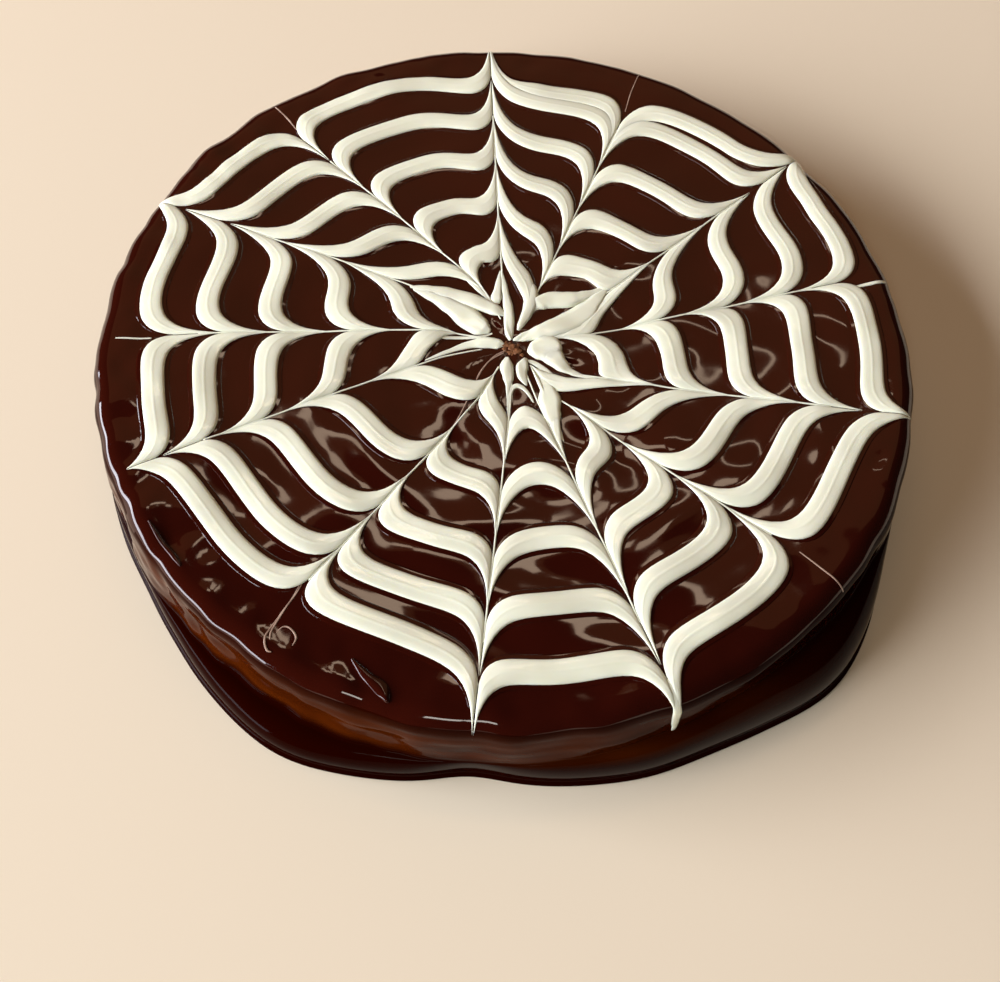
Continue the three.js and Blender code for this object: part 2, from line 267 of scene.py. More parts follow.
MISS_KNOTS = round_knots(STROKES, "miss")
TIP_KNOTS = round_knots([stroke for stroke in STROKES if stroke.pull > 0], "tip")
NEXT_STROKES = STROKES[1:] + [STROKES[0]._replace(at=FIRST_STROKE + FULL_TURN)]
SECTOR_MIDDLES = [(stroke.at + after.at) / 2 for stroke, after in zip(STROKES, NEXT_STROKES)]


def level_turn(turn, stroke):
    """Radius of a turn midway in the sector that follows a stroke. Turn 0 is the outermost."""
    share = 1 - turn / (TURN_COUNT - 2)
    spaced = share + stroke.crowd * share * (1 - share)
    return mix(stroke.inner, stroke.outer, spaced)


def turn_knots(turn):
    """The spiral winds outwards, so one turn's end runs on as the next turn outwards."""
    knots = [(at, level_turn(turn, stroke)) for at, stroke in zip(SECTOR_MIDDLES, STROKES)]
    before = (SECTOR_MIDDLES[-1] - FULL_TURN, level_turn(turn + 1, STROKES[-1]))
    after = (SECTOR_MIDDLES[0] + FULL_TURN, level_turn(turn - 1, STROKES[0]))
    return [before] + knots + [after]


TURN_KNOTS = [turn_knots(turn) for turn in range(TURN_COUNT)]


def turn_middle(turn, degrees):
    """Radius of the piped line. The outermost turn's end is laid close against the turn beside it."""
    piped = blend_at(TURN_KNOTS[turn], degrees)
    if turn > 0:
        return piped
    near = STROKES[-2].at
    laid = smooth(degrees, near - OVERLAP_START, near + OVERLAP_START)
    along = smooth(degrees, near + OVERLAP_START, FIRST_STROKE + FULL_TURN)
    beside = blend_at(TURN_KNOTS[1], degrees) + mix(OVERLAP_GAP[0], OVERLAP_GAP[1], along)
    return mix(piped, beside, laid)


def bead_width(turn, degrees):
    if turn > 0:
        return BEAD_WIDTH
    end = FIRST_STROKE + FULL_TURN
    return BEAD_WIDTH * (1 - smooth(degrees, end - END_TAPER, end))


def dragged(radius, degrees, across):
    """Where the strokes drag a point of the line to, along its spoke. The leading side is drawn further."""
    start = max(radius, LEAST_RADIUS)
    pull = 0.0
    for stroke in STROKES:
        ahead = math.copysign(1, stroke.pull)
        share = mix(TRAIL_SHARE, 1.0, (1 + ahead * across) / 2)
        beside = math.hypot(start * math.radians(turn_between(degrees, stroke.at)), SKEWER_RADIUS)
        tail = ahead * TAIL_PULL * (1 + beside / TAIL_REACH) ** -2
        pull += share * (stroke.pull * math.exp(-beside / DRAG_REACH) + tail)
    if pull < 0:
        return start * start / (start - pull)
    room = max(blend_at(TIP_KNOTS, degrees) - start, LEAST_RADIUS)
    return start + room * (1 - math.exp(-pull * start / (start + STILL_MIDDLE) / room))


def on_spoke(radius, degrees):
    """Plan point of a spoke. Spokes bend a little towards the middle, as the strokes do."""
    inwards = 1 / (max(radius, BEND_END) + BEND_SOFTENING) - 1 / (RIM_RADIUS + BEND_SOFTENING)
    angle = math.radians(degrees) - blend_at(MISS_KNOTS, degrees) * inwards
    return WEB_MIDDLE + radius * Vector((math.cos(angle), math.sin(angle)))


def calmer(x, fade):
    """Share of the unevenness that is left that far to the right."""
    return mix(1.0, CALM_RIGHT, smooth(x / RIM_RADIUS, *fade))


def rim_radius(angle):
    along = RIM_RADIUS * Vector((math.cos(angle), math.sin(angle), 0))
    oval = RIM_OVAL * math.sin(2 * angle + math.radians(RIM_OVAL_TURN))
    wave = RIM_WAVE * calmer(along.x, RIM_WAVE_FADE) * noise.noise(along / RIM_WAVE_LENGTH)
    return RIM_RADIUS - oval + wave


def foot_radius(angle):
    degrees = math.degrees(angle)
    bulges = sum(bulge.out * bell(turn_between(degrees, bulge.at), bulge.half) for bulge in FOOT_BULGES)
    place = Vector((math.cos(angle), math.sin(angle), 0)) * (FOOT_RADIUS / FOOT_RAGGED_LENGTH)
    return FOOT_RADIUS + bulges + FOOT_RAGGED * noise.noise(place)


def crease_height(angle):
    rise = CREASE_RISE.out * bell(turn_between(math.degrees(angle), CREASE_RISE.at), CREASE_RISE.half)
    place = Vector((math.cos(angle), math.sin(angle), 0)) * (FOOT_RADIUS / CREASE_WAVE_LENGTH)
    return CREASE_HEIGHT + rise + CREASE_WAVE * noise.noise(place)


def glaze_relief(x, y):
    """Slow waves, swells and dents of the poured glaze, stronger towards the front."""
    k = 2 * math.pi / GLAZE_WAVE_LENGTH
    wave = GLAZE_WAVE * math.sin(k * x + math.sin(k * y)) * math.sin(k * y + GLAZE_WAVE_SHIFT)
    beside = Vector((x, y)) - WEB_MIDDLE
    around = beside.normalized() / math.radians(SWELL_TURN)
    place = Vector((around.x, around.y, beside.length / SWELL_LENGTH))
    lively = mix(1.0, CALM_BACK, smooth(y, *BACK_FADE))
    inside = 1 - smooth(math.hypot(x, y), FLAT_RADIUS - 2 * RIM_CALM, FLAT_RADIUS)
    rise = noise.noise(place) + RIPPLE * noise.noise(place * RIPPLE_FINENESS)
    swell = SWELL_HEIGHT * lively * mix(RIM_SWELL, 1.0, inside) * rise
    dents = 0.0
    for dent in DENTS:
        turn = math.radians(dent.turn)
        along = (x - dent.x) * math.cos(turn) + (y - dent.y) * math.sin(turn)
        across = (y - dent.y) * math.cos(turn) - (x - dent.x) * math.sin(turn)
        dents += dent.height * bell(along, dent.long) * bell(across, dent.wide)
    knobs = RIM_KNOB * (1 - inside) * noise.noise(Vector((x, y, 0)) / RIM_KNOB_LENGTH)
    return wave + swell + dents + knobs * calmer(x, TOP_KNOB_FADE)


def wall_lump(angle, height):
    """Lumps and spatula streaks of the glaze on the wall and the rim."""
    along = RIM_RADIUS * Vector((math.cos(angle), math.sin(angle), 0))
    lump = noise.noise(along / WALL_LUMP_LENGTH + Vector((0, 0, height / WALL_LUMP_LENGTH)))
    streak = noise.noise(along / WALL_STREAK_LENGTH + Vector((0, 0, height / WALL_STREAK_HEIGHT)))
    knob = noise.noise(along / RIM_KNOB_LENGTH + Vector((0, 0, height / RIM_KNOB_LENGTH)))
    on_wall = smooth(height, CREASE_HEIGHT - CREASE_SOFTNESS, CREASE_HEIGHT + CREASE_SOFTNESS)
    knob *= calmer(along.x, WALL_KNOB_FADE)
    return WALL_LUMP * lump + WALL_STREAK * streak * on_wall + RIM_KNOB * knob


def on_glaze(plan, lift):
    """Lays a plan point on the glaze: flat on top, then rolled over the rim and down the wall."""
    reach = plan.length
    angle = math.atan2(plan.y, plan.x)
    rim = rim_radius(angle)
    past = reach - (rim - RIM_ROUND)
    tilt = min(max(past / RIM_ROUND, 0.0), math.pi / 2)
    down = max(past - RIM_ARC, 0.0)
    level = min(reach, rim - RIM_ROUND)
    radius = level + (RIM_ROUND + lift) * math.sin(tilt) + WALL_SLOPE * down
    height = TOP_HEIGHT - RIM_ROUND + (RIM_ROUND + lift) * math.cos(tilt) - down
    height += glaze_relief(plan.x, plan.y) * math.cos(tilt)
    radius += wall_lump(angle, height) * math.sin(tilt)
    return Vector((radius * math.cos(angle), radius * math.sin(angle), height))


def new_piece(name, bm, *materials):
    """Turns a finished bmesh into a smooth piece that rides on the cake."""
    mesh = bpy.data.meshes.new(name)
    bm.to_mesh(mesh)
    bm.free()
    for material in materials:
        mesh.materials.append(material)
    mesh.shade_smooth()
    piece = bpy.data.objects.new(name, mesh)
    bpy.context.collection.objects.link(piece)
    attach(piece, "root")
    return piece


# Glazed body

TOP_ROWS = 80
RIM_ROWS = 10
WALL_ROWS = 14
FOOT_ROWS = 12
UNDER_ROWS = 3
SHOULDER = 0.85
POURED_EDGE = 27.3
FOOT_EDGE = [(-0.9, 0.62), (-0.3, 0.5), (0.0, 0.3), (-0.1, 0.12)]
FOOT_SPREAD = 8.0
FOOT_SPUN = CREASE_RADIUS + FOOT_SPREAD
GLAZE_SPOKES = 480
GLAZE_WELD = 0.001


def glaze_profile():
    """Half outline of the body, from the middle of the top over rim, wall and foot to the middle below."""
    outline = [(FLAT_RADIUS * i / TOP_ROWS, TOP_HEIGHT) for i in range(TOP_ROWS + 1)]
    for i in range(1, RIM_ROWS + 1):
        tilt = math.pi / 2 * i / RIM_ROWS
        outline.append((FLAT_RADIUS + RIM_ROUND * math.sin(tilt), WALL_TOP + RIM_ROUND * math.cos(tilt)))
    for i in range(1, WALL_ROWS + 1):
        down = i / WALL_ROWS
        outline.append((mix(RIM_RADIUS, CREASE_RADIUS, down), mix(WALL_TOP, CREASE_HEIGHT, down)))
    for i in range(1, FOOT_ROWS + 1):
        turn = math.pi / 2 * i / FOOT_ROWS
        out = math.sin(turn) ** SHOULDER
        up = max(math.cos(turn), 0.0) ** SHOULDER
        outline.append((mix(CREASE_RADIUS, FOOT_SPUN - FOOT_TUCK, out), mix(FOOT_NOSE, CREASE_HEIGHT, up)))
    outline += [(FOOT_SPUN + out, FOOT_NOSE * up) for out, up in FOOT_EDGE]
    for i in range(UNDER_ROWS + 1):
        outline.append(((FOOT_SPUN - FOOT_TUCK / 2) * (1 - i / UNDER_ROWS), 0.0))
    return outline


def top_point(share, angle):
    """Point of the flat top, at a share of the way from the middle to where the rim starts to roll over."""
    plan = share * (rim_radius(angle) - RIM_ROUND) * Vector((math.cos(angle), math.sin(angle)))
    return Vector((plan.x, plan.y, TOP_HEIGHT + glaze_relief(plan.x, plan.y)))


def glaze_point(reach, height, angle):
    """Moves a point of the round body to its place on the real, slightly uneven one."""
    if height >= TOP_HEIGHT:
        return top_point(reach / FLAT_RADIUS, angle)
    outwards = Vector((math.cos(angle), math.sin(angle)))
    rim = rim_radius(angle)
    if height >= WALL_TOP:
        tilt = math.acos(min((height - WALL_TOP) / RIM_ROUND, 1.0))
        end = (rim - RIM_ROUND) * outwards
        radius = rim - RIM_ROUND + (RIM_ROUND + wall_lump(angle, height)) * math.sin(tilt)
        return Vector((*(radius * outwards), height + glaze_relief(end.x, end.y) * math.cos(tilt)))
    crease = crease_height(angle)
    if height >= CREASE_HEIGHT:
        low = mix(crease, WALL_TOP, (height - CREASE_HEIGHT) / (WALL_TOP - CREASE_HEIGHT))
        radius = rim + WALL_SLOPE * (WALL_TOP - low) + wall_lump(angle, low)
        return Vector((*(radius * outwards), low))
    foot = foot_radius(angle)
    if height == 0.0:
        return Vector((*((reach - FOOT_SPUN + foot if reach > 0 else 0.0) * outwards), 0.0))
    share = min((reach - CREASE_RADIUS) / (FOOT_SPUN - FOOT_TUCK - CREASE_RADIUS), 1.0)
    low = height
    if height > FOOT_NOSE:
        low = mix(FOOT_NOSE, crease, (height - FOOT_NOSE) / (CREASE_HEIGHT - FOOT_NOSE))
    wall_foot = rim + WALL_SLOPE * (WALL_TOP - crease) + wall_lump(angle, low) * (1 - share)
    radius = mix(wall_foot, foot - FOOT_TUCK, share)
    if height < FOOT_NOSE:
        radius = foot + reach - FOOT_SPUN
    return Vector((*(radius * outwards), low))


def glaze_body(poured, run_down):
    """The half outline spun round, then moved point by point into the poured shape."""
    bm = bmesh.new()
    corners = [bm.verts.new((reach, 0, height)) for reach, height in glaze_profile()]
    edges = [bm.edges.new(pair) for pair in zip(corners, corners[1:])]
    bmesh.ops.spin(bm, geom=corners + edges, cent=(0, 0, 0), axis=(0, 0, 1), angle=2 * math.pi,
                   steps=GLAZE_SPOKES, use_merge=True)
    bmesh.ops.remove_doubles(bm, verts=bm.verts, dist=GLAZE_WELD)
    for vertex in bm.verts:
        x, y, height = vertex.co
        height = round(height, 4)
        vertex.co = glaze_point(math.hypot(x, y), height, math.atan2(y, x)) * MM
    bmesh.ops.recalc_face_normals(bm, faces=bm.faces)
    for face in bm.faces:
        face.material_index = int(face.calc_center_median().z < POURED_EDGE * MM)
    piece = new_piece("chocolate_glaze", bm, poured, run_down)
    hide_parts("cake")


# White web and the strands laid beside it

BEAD_POINTS = 28
BEAD_OFFSETS = (0.06, 0.14, 0.24, 0.4, 0.65, 1.0, 1.6, 2.4, 3.6, 5.2, 7.5)
BEAD_SPACING = 2.2
BEAD_ROUNDNESS = 0.5
CREST_CROWDING = 0.6
CREST_RISE = 0.1
CREST_WIDTH = 0.08
THIN_POWER = 0.6
FULLEST = 1.15
SLIT_WIDTH = 0.2
SLIT_DEPTH = 1.35
SKIRT_WIDTH = 1.3
SKIRT_HEIGHT = 0.6
SKIRT_ROUNDNESS = 3.0
PIPING_TURN = 5
PIPING_START = 427.0
STRAND_SPACING = 0.6
STRAND_POINTS = 16
ICING_STRAND = (0.16, 0.38)
ICING_THREAD = (0.45, 0.8)
SMEAR = (0.3, 0.8)
GLAZE_LIP = (0.36, 2.0)
STRAND_STEP = 0.01
BEAD_WELD = 0.0001 * MM


def web_sections():
    """Turn and angle of each section of the spiral, from the middle outwards, closest beside the strokes."""
    sections = []
    for turn in reversed(range(PIPING_TURN + 1)):
        near = set()
        for stroke in STROKES:
            for at in (stroke.at, stroke.at + FULL_TURN):
                inside = min(max(at, FIRST_STROKE), FIRST_STROKE + FULL_TURN)
                degree = math.degrees(1 / max(turn_middle(turn, inside), STILL_MIDDLE))
                for offset in (0.0, *BEAD_OFFSETS):
                    near.update((at - offset * degree, at + offset * degree))
        near = sorted(at for at in near if FIRST_STROKE <= at < FIRST_STROKE + FULL_TURN)
        for at, after in zip(near, near[1:] + [FIRST_STROKE + FULL_TURN]):
            length = math.radians(after - at) * max(turn_middle(turn, at), STILL_MIDDLE)
            count = max(math.ceil(length / BEAD_SPACING), 1)
            sections += [(turn, mix(at, after, i / count)) for i in range(count)]
    return [section for section in sections if section[0] < PIPING_TURN or section[1] > PIPING_START]


def web_fullness(middle, half, degrees):
    """How full the bead is: where a stroke draws it out thin, it is low too."""
    step = math.degrees(SKEWER_RADIUS / max(middle, LEAST_RADIUS)) / 2
    slope = (dragged(middle, degrees + step, 0) - dragged(middle, degrees - step, 0)) / SKEWER_RADIUS
    width = (dragged(middle + half, degrees, 1) - dragged(middle - half, degrees, -1)) / math.hypot(1, slope)
    return min(max(width / BEAD_WIDTH, 0.0), FULLEST) ** THIN_POWER


def bead_outline(turn, roundness):
    """Across and up of a point of a bead's outline, at a turn from -1 to 1, closest near the crest."""
    angle = turn * math.pi + CREST_CROWDING / 2 * math.sin(2 * turn * math.pi)
    up = math.sin(angle)
    return math.cos(angle), math.copysign(abs(up) ** roundness, up)


def rolled_sheet(bm, sections, points):
    """A flat sheet in as many columns as there are sections, each to be rolled up into a round outline."""
    last = len(sections) - 1
    sheet = bmesh.ops.create_grid(bm, x_segments=last, y_segments=points, size=1)
    columns = [[] for section in sections]
    for vertex in sheet["verts"]:
        columns[round((vertex.co.x + 1) / 2 * last)].append(vertex)
    return zip(sections, columns)


def close_beads(bm, points):
    """Joins the rolled sheets along their seams and closes their ends."""
    bmesh.ops.remove_doubles(bm, verts=bm.verts, dist=BEAD_WELD)
    bmesh.ops.holes_fill(bm, edges=[edge for edge in bm.edges if edge.is_boundary], sides=points)
    bmesh.ops.recalc_face_normals(bm, faces=bm.faces)


def laid_web(name, beside, height, roundness, material):
    """One long bead, laid as the spiral and dragged by the strokes, which leave a fine slit behind them."""
    bm = bmesh.new()
    for (turn, degrees), column in rolled_sheet(bm, web_sections(), BEAD_POINTS):
        middle = turn_middle(turn, degrees)
        half = bead_width(turn, degrees) / 2
        fullness = web_fullness(middle, half, degrees)
        near = math.radians(min(abs(turn_between(degrees, stroke.at)) for stroke in STROKES))
        for vertex in column:
            across, up = bead_outline(vertex.co.y, roundness)
            radius = dragged(middle + across * (half + beside), degrees, across)
            lift = up * (height if up > 0 else BEAD_SUNK) * fullness
            if up > 0:
                slit = bell(radius * near, SLIT_WIDTH)
                lift *= (1 + CREST_RISE * bell(across, CREST_WIDTH)) * (1 - SLIT_DEPTH * slit)
            vertex.co = on_glaze(on_spoke(radius, degrees), lift) * MM
    close_beads(bm, BEAD_POINTS)
    piece = new_piece(name, bm, material)


def along_strand(strand, share):
    """Place and width at a share of a strand's way, on a smooth line through its points."""
    last = len(strand.points) - 1
    i = min(int(share * last), last - 1)
    t = share * last - i
    places = [Vector(strand.points[min(max(i + step, 0), last)]) for step in (-1, 0, 1, 2)]
    before, start, end, after = places
    leave = (end - before) / 2
    arrive = (after - start) / 2
    place = start + t * leave + t * t * (3 * (end - start) - 2 * leave - arrive)
    place += t ** 3 * (2 * (start - end) + leave + arrive)
    return place, mix(strand.widths[i], strand.widths[i + 1], smooth(t, 0, 1))


def laid_strands(name, strands, section, material):
    """Low rounded strands that lie on the glaze and run out at both ends."""
    slimness, roundness = section
    bm = bmesh.new()
    for strand in strands:
        ends = [Vector(point) for point in strand.points]
        length = sum((after - before).length for before, after in zip(ends, ends[1:]))
        count = math.ceil(length / STRAND_SPACING)
        for step, column in rolled_sheet(bm, range(count + 1), STRAND_POINTS):
            share = step / count
            place, width = along_strand(strand, share)
            behind = along_strand(strand, max(share - STRAND_STEP, 0.0))[0]
            ahead = along_strand(strand, min(share + STRAND_STEP, 1.0))[0] - behind
            side = Vector((-ahead.y, ahead.x)).normalized()
            blunt = min(share, 1 - share) * length / (width / 2)
            half = width / 2 * math.sqrt(1 - (1 - min(blunt, 1.0)) ** 2)
            for vertex in column:
                across, up = bead_outline(vertex.co.y, roundness)
                lift = up * min(half * 2 * slimness, BEAD_HEIGHT)
                vertex.co = on_glaze(place + across * half * side, lift) * MM
    close_beads(bm, STRAND_POINTS)
    piece = new_piece(name, bm, material)


def stroke_threads():
    """One fine strand along each stroke, from near the middle out to the white's last point."""
    threads = []
    for stroke in STROKES:
        radii = [mix(THREAD_INNER, THREAD_OUTER, i / THREAD_STEPS) for i in range(THREAD_STEPS + 1)]
        points = [tuple(on_spoke(radius, stroke.at)) for radius in radii]
        threads.append(Strand(points, [THREAD_WIDTH] * len(points)))
    return threads


CRUMB_ROUGHNESS = 0.9
CRUMB_FLATNESS = 0.28
CRUMB_GRAINS = 1.7


def brownie_crumbs(material):
    """Small torn lumps, each a ball pushed in and out."""
    bm = bmesh.new()
    for crumb in CRUMBS:
        ball = bmesh.ops.create_icosphere(bm, subdivisions=3, radius=crumb.size / 2)
        for vertex in ball["verts"]:
            place = vertex.co + Vector((crumb.x, crumb.y, 0))
            swollen = vertex.co * (1 + CRUMB_ROUGHNESS * noise.noise(place * CRUMB_GRAINS))
            swollen.z *= CRUMB_FLATNESS
            vertex.co = (on_glaze(Vector((crumb.x, crumb.y)), 0.0) + swollen) * MM
    bmesh.ops.recalc_face_normals(bm, faces=bm.faces)
    piece = new_piece("brownie_crumbs", bm, material)


# Finishes


def linear(code):
    """Turns an sRGB hex value into the linear colour that a shader takes."""
    parts = [int(code[i:i + 2], 16) / 255 for i in (1, 3, 5)]
    return [part / 12.92 if part <= 0.04045 else ((part + 0.055) / 1.055) ** 2.4 for part in parts] + [1.0]


def add_node(tree, kind, settings, inputs):
    """Adds a node with its settings. An input that is a socket is linked, and any other is set."""
    node = tree.nodes.new(kind)
    for name, value in settings.items():
        setattr(node, name, value)
    for key, value in inputs.items():
        if isinstance(value, bpy.types.NodeSocket):
            tree.links.new(value, node.inputs[key])
        else:
            node.inputs[key].default_value = value
    return node


def per_metre(millimetres):
    """Pattern scale that repeats about once in that length."""
    return 1 / (millimetres * MM)


def new_finish(name):
    finish = bpy.data.materials.new(name)
    finish.use_nodes = True
    finish.node_tree.nodes.clear()
    return finish, finish.node_tree


def poured_glaze_finish():
    """Dark chocolate ganache, poured warm: almost black brown, mirror-smooth, a little uneven in gloss."""
    finish, tree = new_finish("poured_dark_chocolate_ganache")
    place = add_node(tree, "ShaderNodeTexCoord", {}, {}).outputs["Object"]
    cloud = add_node(tree, "ShaderNodeTexNoise", {},
                     {"Vector": place, "Scale": per_metre(38), "Detail": 3.0})
    colour = add_node(tree, "ShaderNodeMix", {"data_type": "RGBA"},
                      {0: cloud.outputs["Fac"], 6: linear("#260602"), 7: linear("#300a04")})
    gloss = add_node(tree, "ShaderNodeTexNoise", {},
                     {"Vector": place, "Scale": per_metre(9), "Detail": 2.0})
    rough = add_node(tree, "ShaderNodeMapRange", {},
                     {"Value": gloss.outputs["Fac"], "To Min": 0.03, "To Max": 0.08})
    skin = add_node(tree, "ShaderNodeTexNoise", {},
                    {"Vector": place, "Scale": per_metre(6), "Detail": 1.0})
    bump = add_node(tree, "ShaderNodeBump", {},
                    {"Height": skin.outputs["Fac"], "Strength": 0.15, "Distance": 0.0001})
    shader = add_node(tree, "ShaderNodeBsdfPrincipled", {},
                      {"Base Color": colour.outputs[2], "Roughness": rough.outputs["Result"], "IOR": 1.46,
                       "Normal": bump.outputs["Normal"]})
    add_node(tree, "ShaderNodeOutputMaterial", {}, {"Surface": shader.outputs["BSDF"]})
    return finish


# Where the glaze on the side is drawn thin and brown, the brown partly a painted reflection of a golden
# board:
# axis, the places in millimetres where the brown starts and is full, and the least share of it
Fade = namedtuple("Fade", "axis none full least")
WALL_BROWN_AND_REFLECTION_FADES = [
    Fade("Z", 9, 14, 0.0),
    Fade("Z", 29, 21, 0.0),
    Fade("X", 100, 0, 0.0),
    Fade("Y", 40, -50, 0.2),
]


def run_down_glaze_finish():
    """Ganache that ran down the side: drawn thin and brown by the spatula on the wall, the brown partly a
    painted reflection; black in the pool.
    """
    finish, tree = new_finish("run_down_dark_chocolate_ganache")
    place = add_node(tree, "ShaderNodeTexCoord", {}, {}).outputs["Object"]
    parts = add_node(tree, "ShaderNodeSeparateXYZ", {}, {"Vector": place})
    drawn = add_node(tree, "ShaderNodeMapping", {},
                     {"Vector": place, "Scale": (per_metre(26), per_metre(26), per_metre(6))})
    streaks = add_node(tree, "ShaderNodeTexNoise", {},
                       {"Vector": drawn.outputs["Vector"], "Scale": 1.0, "Detail": 1.0})
    brown = streaks.outputs["Fac"]
    for fade in WALL_BROWN_AND_REFLECTION_FADES:
        share = add_node(tree, "ShaderNodeMapRange", {"interpolation_type": "SMOOTHSTEP"},
                         {"Value": parts.outputs[fade.axis], "From Min": fade.none * MM,
                          "From Max": fade.full * MM, "To Min": fade.least})
        brown = add_node(tree, "ShaderNodeMath", {"operation": "MULTIPLY"},
                         {0: brown, 1: share.outputs["Result"]}).outputs["Value"]
    # The brown is partly thin glaze and partly a painted reflection of a golden board. It is strongest on
    # the left and front, with a fifth of it left at the back.
    colour = add_node(tree, "ShaderNodeMix", {"data_type": "RGBA"},
                      {0: brown, 6: linear("#1a0200"), 7: linear("#502003")})
    gloss = add_node(tree, "ShaderNodeTexNoise", {},
                     {"Vector": place, "Scale": per_metre(9), "Detail": 2.0})
    rough = add_node(tree, "ShaderNodeMapRange", {},
                     {"Value": gloss.outputs["Fac"], "To Min": 0.04, "To Max": 0.11})
    shader = add_node(tree, "ShaderNodeBsdfPrincipled", {},
                      {"Base Color": colour.outputs[2], "Roughness": rough.outputs["Result"], "IOR": 1.46,
                       "Specular IOR Level": 0.03})
    add_node(tree, "ShaderNodeOutputMaterial", {}, {"Surface": shader.outputs["BSDF"]})
    return finish


def smeared_glaze_finish():
    """Glaze pushed up by the skewer with a trace of icing in it: a dull, lighter brown with a soft gloss,
    the lightness partly a painted highlight.
    """
    finish, tree = new_finish("smeared_ganache_icing_and_painted_highlight")
    place = add_node(tree, "ShaderNodeTexCoord", {}, {}).outputs["Object"]
    streaks = add_node(tree, "ShaderNodeTexNoise", {},
                       {"Vector": place, "Scale": per_metre(2.5), "Detail": 2.0})
    # The pale brown is partly icing in the glaze and partly a painted highlight on the raised lips.
    colour = add_node(tree, "ShaderNodeMix", {"data_type": "RGBA"},
                      {0: streaks.outputs["Fac"], 6: linear("#5e3c2c"), 7: linear("#c4ab96")})
    shader = add_node(tree, "ShaderNodeBsdfPrincipled", {},
                      {"Base Color": colour.outputs[2], "Roughness": 0.2, "IOR": 1.46})
    add_node(tree, "ShaderNodeOutputMaterial", {}, {"Surface": shader.outputs["BSDF"]})
    return finish


def white_icing_finish():
    """White chocolate icing, piped and settled: ivory, softly translucent, with a smooth satin skin."""
    finish, tree = new_finish("piped_white_chocolate_icing")
    place = add_node(tree, "ShaderNodeTexCoord", {}, {}).outputs["Object"]
    cloud = add_node(tree, "ShaderNodeTexNoise", {},
                     {"Vector": place, "Scale": per_metre(7), "Detail": 3.0})
    colour = add_node(tree, "ShaderNodeMix", {"data_type": "RGBA"},
                      {0: cloud.outputs["Fac"], 6: linear("#ebf0d3"), 7: linear("#f3f6de")})
    skin = add_node(tree, "ShaderNodeTexNoise", {},
                    {"Vector": place, "Scale": per_metre(2.2), "Detail": 2.0})
    bump = add_node(tree, "ShaderNodeBump", {},
                    {"Height": skin.outputs["Fac"], "Strength": 0.2, "Distance": 0.0001})
    shader = add_node(tree, "ShaderNodeBsdfPrincipled", {},
                      {"Base Color": colour.outputs[2], "Roughness": 0.09, "IOR": 1.45,
                       "Subsurface Weight": 0.2, "Subsurface Radius": (1.0, 0.8, 0.5),
                       "Subsurface Scale": 0.0015, "Normal": bump.outputs["Normal"]})
    add_node(tree, "ShaderNodeOutputMaterial", {}, {"Surface": shader.outputs["BSDF"]})
    return finish


def brownie_finish():
    """Baked brownie crumb: matt, mid brown and grainy."""
    finish, tree = new_finish("baked_brownie_crumb")
    place = add_node(tree, "ShaderNodeTexCoord", {}, {}).outputs["Object"]
    grain = add_node(tree, "ShaderNodeTexNoise", {},
                     {"Vector": place, "Scale": per_metre(0.5), "Detail": 3.0})
    colour = add_node(tree, "ShaderNodeMix", {"data_type": "RGBA"},
                      {0: grain.outputs["Fac"], 6: linear("#351709"), 7: linear("#9c6a44")})
    bump = add_node(tree, "ShaderNodeBump", {},
                    {"Height": grain.outputs["Fac"], "Strength": 0.6, "Distance": 0.0002})
    shader = add_node(tree, "ShaderNodeBsdfPrincipled", {},
                      {"Base Color": colour.outputs[2], "Roughness": 0.6, "Normal": bump.outputs["Normal"]})
    add_node(tree, "ShaderNodeOutputMaterial", {}, {"Surface": shader.outputs["BSDF"]})
    return finish


def floor_finish():
    """Matt painted floor: pale and warm, without any gloss."""
    finish, tree = new_finish("matt_pale_floor")
    shader = add_node(tree, "ShaderNodeBsdfPrincipled", {},
                      {"Base Color": linear("#efe2c6"), "Roughness": 0.9})
    add_node(tree, "ShaderNodeOutputMaterial", {}, {"Surface": shader.outputs["BSDF"]})
    return finish


# Camera, light and floor

CAMERA_PLACE = Vector((-0.54, -193.04, 291.89))
CAMERA_AIM = Vector((-0.54, -37.67, 0.0))
CAMERA_ROLL = 0.388
CAMERA_LENS = 39.6
SENSOR_WIDTH = 36
NEAREST_SEEN = 0.01
FLOOR_RADIUS = 1.1
FLOOR_SIDES = 96
FLOOR_DROP = 0.0002

# Soft lights in metres and watts. The window lights the cake but isn't mirrored in the glaze. The low card
# under it is only mirrored, as a thin line along the rim.
Light = namedtuple("Light", "name place wide high watts colour")
WINDOW = Light("window_left", (-3.0, -0.5, 1.1), 3.6, 1.8, 304, "#f4f4ff")
CARD = Light("card_left", (-3.0, -0.5, 0.34), 3.6, 0.55, 80, "#f4f4ff")
LAMP_BEHIND = Light("lamp_behind", (-0.3, -1.2, 1.2), 0.5, 0.2, 3.5, "#fffaf0")
WALL_BACK = Light("wall_back", (0.1, 1.0, 1.1), 2.4, 1.2, 3.3, "#ffad73")
LIGHT_AIM = (0, 0, 0.02)

# Small ceiling lamps, which the glaze mirrors in wavy lines and patches: place and size in metres
CEILING = 1.2
CEILING_COLOUR = "#ffe2c4"
LAMP_RADIANCE = 6.0
Lamp = namedtuple("Lamp", "x y wide deep")
CEILING_LAMPS = [
    Lamp(-0.08, 0.53, 0.36, 0.09),
    Lamp(0.24, 0.47, 0.2, 0.08),
    Lamp(-0.43, 0.5, 0.1, 0.06),
    Lamp(-0.32, 0.58, 0.12, 0.06),
    Lamp(0.3, 0.78, 0.4, 0.03),
]


def aimed(place, aim):
    return (aim - place).to_track_quat("-Z", "Y")


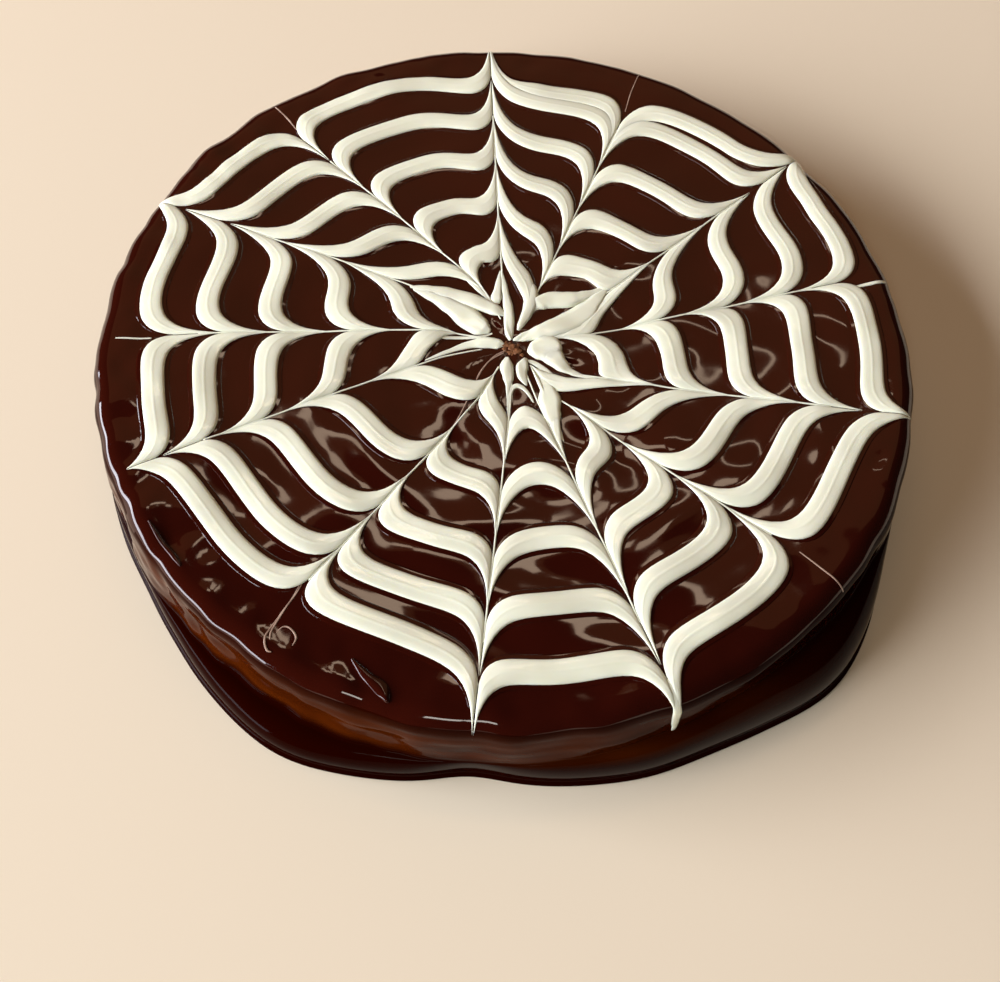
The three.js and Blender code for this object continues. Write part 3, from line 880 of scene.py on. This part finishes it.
def set_camera():
    data = bpy.data.cameras.new("view")
    data.sensor_width = SENSOR_WIDTH
    data.lens = CAMERA_LENS
    data.clip_start = NEAREST_SEEN
    camera = bpy.data.objects.new("view", data)
    turn = aimed(CAMERA_PLACE, CAMERA_AIM).to_matrix() @ Matrix.Rotation(math.radians(CAMERA_ROLL), 3, "Z")
    camera.matrix_world = Matrix.Translation(CAMERA_PLACE * MM) @ turn.to_4x4()
    bpy.context.collection.objects.link(camera)
    bpy.context.scene.camera = camera


def soft_light(light, aim):
    data = bpy.data.lights.new(light.name, "AREA")
    data.shape = "RECTANGLE"
    data.size = light.wide
    data.size_y = light.high
    data.energy = light.watts
    data.color = linear(light.colour)[:3]
    shining = bpy.data.objects.new(light.name, data)
    shining.location = light.place
    shining.rotation_euler = aimed(Vector(light.place), Vector(aim)).to_euler()
    bpy.context.collection.objects.link(shining)
    return shining


def set_light():
    soft_light(WINDOW, LIGHT_AIM).visible_glossy = False
    soft_light(CARD, LIGHT_AIM).visible_diffuse = False
    soft_light(LAMP_BEHIND, LIGHT_AIM)
    soft_light(WALL_BACK, LIGHT_AIM)
    for number, lamp in enumerate(CEILING_LAMPS):
        place = (lamp.x, lamp.y, CEILING)
        watts = LAMP_RADIANCE * math.pi * lamp.wide * lamp.deep
        light = Light(f"ceiling_{number}", place, lamp.wide, lamp.deep, watts, CEILING_COLOUR)
        soft_light(light, (lamp.x, lamp.y, 0))
    bpy.context.scene.view_settings.view_transform = "Standard"


def set_room():
    """A pale backdrop to look at, and a dim room that fills the shadows and shows in the gloss."""
    world = bpy.data.worlds.new("studio")
    world.use_nodes = True
    tree = world.node_tree
    tree.nodes.clear()
    room = add_node(tree, "ShaderNodeBackground", {}, {"Color": linear("#b99f86"), "Strength": 0.06})
    backdrop = add_node(tree, "ShaderNodeBackground", {}, {"Color": linear("#e6d8bf"), "Strength": 1.0})
    seen = add_node(tree, "ShaderNodeLightPath", {}, {}).outputs["Is Camera Ray"]
    both = add_node(tree, "ShaderNodeMixShader", {},
                    {0: seen, 1: room.outputs["Background"], 2: backdrop.outputs["Background"]})
    add_node(tree, "ShaderNodeOutputWorld", {}, {"Surface": both.outputs["Shader"]})
    bpy.context.scene.world = world


def set_floor():
    bm = bmesh.new()
    bmesh.ops.create_circle(bm, cap_ends=True, segments=FLOOR_SIDES, radius=FLOOR_RADIUS)
    bmesh.ops.translate(bm, verts=bm.verts, vec=(0, 0, -FLOOR_DROP))
    mesh = bpy.data.meshes.new("floor")
    bm.to_mesh(mesh)
    bm.free()
    mesh.materials.append(floor_finish())
    floor = bpy.data.objects.new("floor", mesh)
    bpy.context.collection.objects.link(floor)


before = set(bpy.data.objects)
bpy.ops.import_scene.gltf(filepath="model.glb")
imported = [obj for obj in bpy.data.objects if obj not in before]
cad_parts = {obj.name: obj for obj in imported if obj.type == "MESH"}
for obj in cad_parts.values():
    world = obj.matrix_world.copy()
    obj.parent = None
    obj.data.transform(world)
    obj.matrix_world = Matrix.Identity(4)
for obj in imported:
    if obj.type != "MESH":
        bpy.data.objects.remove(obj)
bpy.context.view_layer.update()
set_camera()
set_light()
set_room()
set_floor()
poured = poured_glaze_finish()
icing = white_icing_finish()
glaze_body(poured, run_down_glaze_finish())
laid_strands("glaze_lips", GLAZE_LIPS, GLAZE_LIP, poured)
laid_strands("glaze_smears", SMEARS, SMEAR, smeared_glaze_finish())
brownie_crumbs(brownie_finish())
laid_web("glaze_skirt", SKIRT_WIDTH, SKIRT_HEIGHT, SKIRT_ROUNDNESS, poured)
laid_web("white_icing_web", 0.0, BEAD_HEIGHT, BEAD_ROUNDNESS, icing)
laid_strands("white_icing_threads", stroke_threads(), ICING_THREAD, icing)
laid_strands("white_icing_middle", MIDDLE_STRANDS, ICING_STRAND, icing)
